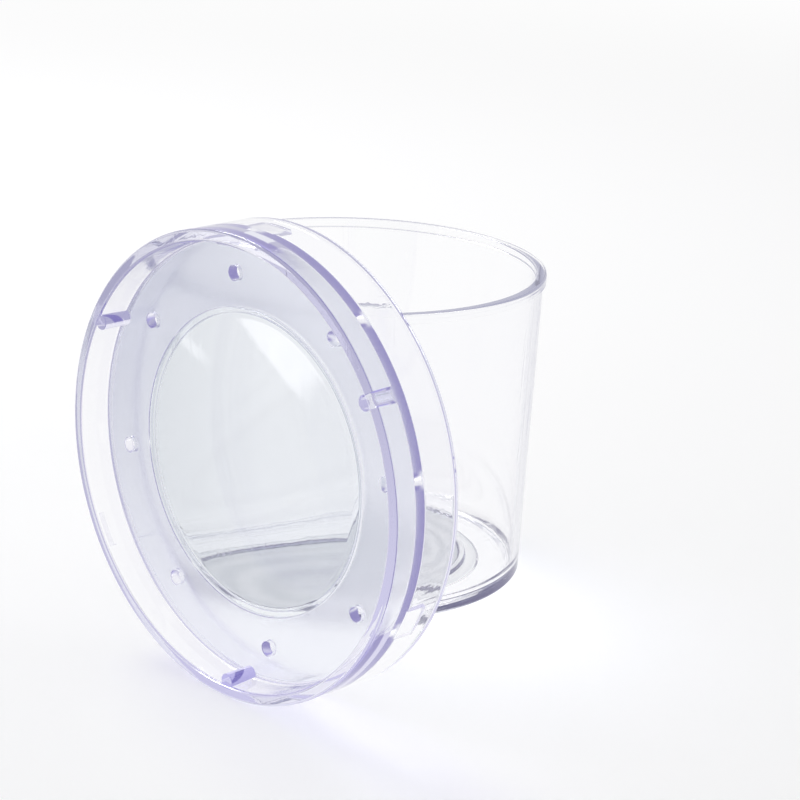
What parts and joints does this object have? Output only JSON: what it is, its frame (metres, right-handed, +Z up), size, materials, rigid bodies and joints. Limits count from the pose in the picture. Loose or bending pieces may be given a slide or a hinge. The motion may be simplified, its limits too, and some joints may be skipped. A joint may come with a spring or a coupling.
{
  "type": "bug catcher jar",
  "caption": "Clear tapered pot with a push-on lid that holds a round magnifying lens, vent holes and grip pins; the lid is off and stands on its edge before the pot.",
  "frame": {"origin": "middle of the pot's base, on the surface that it stands on", "axes": "+Z up along the pot's axis, -Y towards the side where the lid stands on its edge with its under side facing out, +X to the right as seen from there"},
  "size_m": [0.1148, 0.1017, 0.084],
  "materials": {
    "clear_plastic": "clear, glossy",
    "lilac_plastic": "clear with a lilac tint, glossy",
    "lens_plastic": "clear, polished"
  },
  "bodies": {
    "pot": {"jar_body": "clear_plastic"},
    "lid": {"lid_cap": "lilac_plastic", "magnifier_lens": "lens_plastic"}
  },
  "joints": [
    {"name": "lid_lift", "type": "slide", "parent": "pot", "child": "lid", "axis": [0, 0, 1], "range_m": [0, 0.09]}
  ]
}
